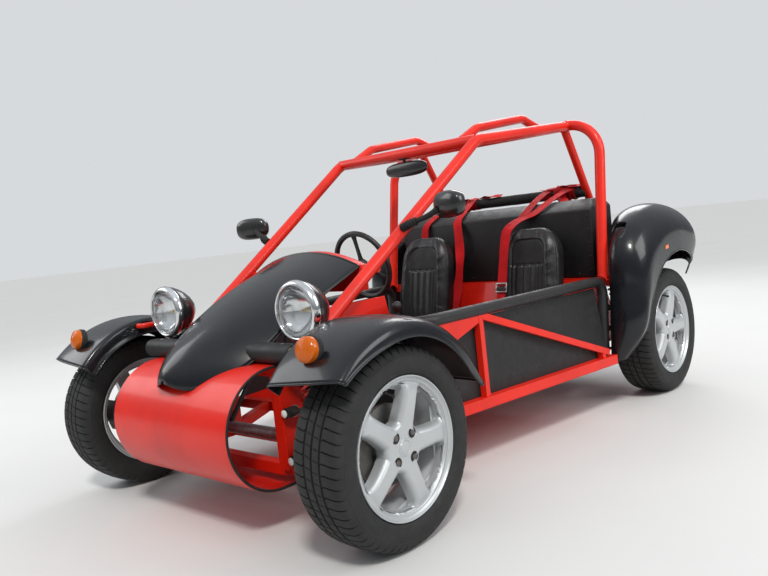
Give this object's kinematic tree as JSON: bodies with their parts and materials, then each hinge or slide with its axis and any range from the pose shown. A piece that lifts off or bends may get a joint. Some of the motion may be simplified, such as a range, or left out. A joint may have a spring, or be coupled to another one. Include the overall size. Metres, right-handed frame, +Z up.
{
  "type": "dune buggy",
  "caption": "Two-seat open dune buggy with a tubular cage, rolled nose, cycle front wings, full rear fenders and steered front wheels.",
  "frame": {"origin": "on the ground below the middle of the vehicle's bounding box", "axes": "+X to the vehicle's left, +Y to its rear along its length, +Z up; it faces -Y"},
  "size_m": [1.6448, 2.641, 1.359],
  "materials": {
    "frame_red": "gloss orange-red paint",
    "cowl_red": "gloss orange-red paint on sheet",
    "rail_black": "satin black paint",
    "panel_black": "matt black sheet",
    "body_black": "gloss black laminate",
    "box_black": "satin black",
    "chrome": "polished, with a black bowl",
    "lens_clear": "clear fluted glass",
    "lens_amber": "amber lens",
    "lens_red": "red lens",
    "pad_black": "foam sleeve",
    "webbing_red": "woven harness webbing",
    "seat_leather": "black leathercloth",
    "wheel_grip": "black rim with satin spokes",
    "control_black": "black plastic",
    "mirror_black": "black shell",
    "arm_black": "black paint",
    "knuckle_iron": "dull cast",
    "damper": "painted spring and damper",
    "rack_alloy": "cast housing",
    "engine": "plain block",
    "steel": "dull steel",
    "tyre": "black rubber",
    "rim": "silver paint",
    "disc": "machined"
  },
  "bodies": {
    "chassis": {"chassis_frame": "frame_red", "side_trusses": "frame_red", "main_hoop": "frame_red", "cage_rails": "frame_red", "roof_bars": "frame_red", "waist_rails": "rail_black", "side_panels": "panel_black", "floor_and_bulkhead": "cowl_red", "nose_cowl": "cowl_red", "bonnet": "body_black", "dashboard": "cowl_red", "headlamp_bar": "body_black", "headlamps": "chrome", "headlamp_lenses": "lens_clear", "front_indicators": "lens_amber", "front_wings": "body_black", "rear_fenders": "body_black", "rear_lamps": "lens_red", "storage_box": "box_black", "harness_bar": "pad_black", "harnesses": "webbing_red", "driver_seat": "seat_leather", "passenger_seat": "seat_leather", "steering_column": "control_black", "driver_controls": "control_black", "mirrors": "mirror_black", "front_wishbones": "arm_black", "dampers": "damper", "steering_rack": "rack_alloy", "rear_arms": "arm_black", "engine_block": "engine", "exhaust": "steel"},
    "track_rods": {"track_rods": "steel"},
    "knuckle_left": {"knuckle_left": "knuckle_iron"},
    "knuckle_right": {"knuckle_right": "knuckle_iron"},
    "steering_wheel": {"steering_wheel": "wheel_grip"},
    "wheel_front_left": {"tyre_front_left": "tyre", "rim_front_left": "rim", "brake_disc_front_left": "disc"},
    "wheel_front_right": {"tyre_front_right": "tyre", "rim_front_right": "rim", "brake_disc_front_right": "disc"},
    "wheel_rear_left": {"tyre_rear_left": "tyre", "rim_rear_left": "rim", "brake_disc_rear_left": "disc"},
    "wheel_rear_right": {"tyre_rear_right": "tyre", "rim_rear_right": "rim", "brake_disc_rear_right": "disc"}
  },
  "joints": [
    {"name": "steer_left", "type": "hinge", "parent": "chassis", "child": "knuckle_left", "pos_m": [0.6, -1.0205, 0.293], "axis": [0, 0, 1], "range_deg": [-28, 28]},
    {"name": "steer_right", "type": "hinge", "parent": "chassis", "child": "knuckle_right", "pos_m": [-0.6, -1.0205, 0.293], "axis": [0, 0, 1], "range_deg": [-28.5, 28.5]},
    {"name": "rack_slide", "type": "slide", "parent": "chassis", "child": "track_rods", "axis": [1, 0, 0], "range_m": [-0.0452, 0.0452]},
    {"name": "steering_wheel_turn", "type": "hinge", "parent": "chassis", "child": "steering_wheel", "pos_m": [-0.3, -0.0205, 0.75], "axis": [0, 0.9613, 0.2756], "range_deg": [-449, 449]},
    {"name": "wheel_front_left_spin", "type": "hinge", "parent": "knuckle_left", "child": "wheel_front_left", "pos_m": [0.68, -1.0205, 0.293], "axis": [1, 0, 0], "continuous": true},
    {"name": "wheel_front_right_spin", "type": "hinge", "parent": "knuckle_right", "child": "wheel_front_right", "pos_m": [-0.68, -1.0205, 0.293], "axis": [1, 0, 0], "continuous": true},
    {"name": "wheel_rear_left_spin", "type": "hinge", "parent": "chassis", "child": "wheel_rear_left", "pos_m": [0.6745, 0.9375, 0.293], "axis": [1, 0, 0], "continuous": true},
    {"name": "wheel_rear_right_spin", "type": "hinge", "parent": "chassis", "child": "wheel_rear_right", "pos_m": [-0.6745, 0.9375, 0.293], "axis": [1, 0, 0], "continuous": true}
  ],
  "couplings": [
    {"joint": "steer_right", "follows": "steer_left", "ratio": 1},
    {"joint": "rack_slide", "follows": "steer_left", "m_per_rad": -0.09127},
    {"joint": "steering_wheel_turn", "follows": "steer_left", "ratio": 16}
  ]
}
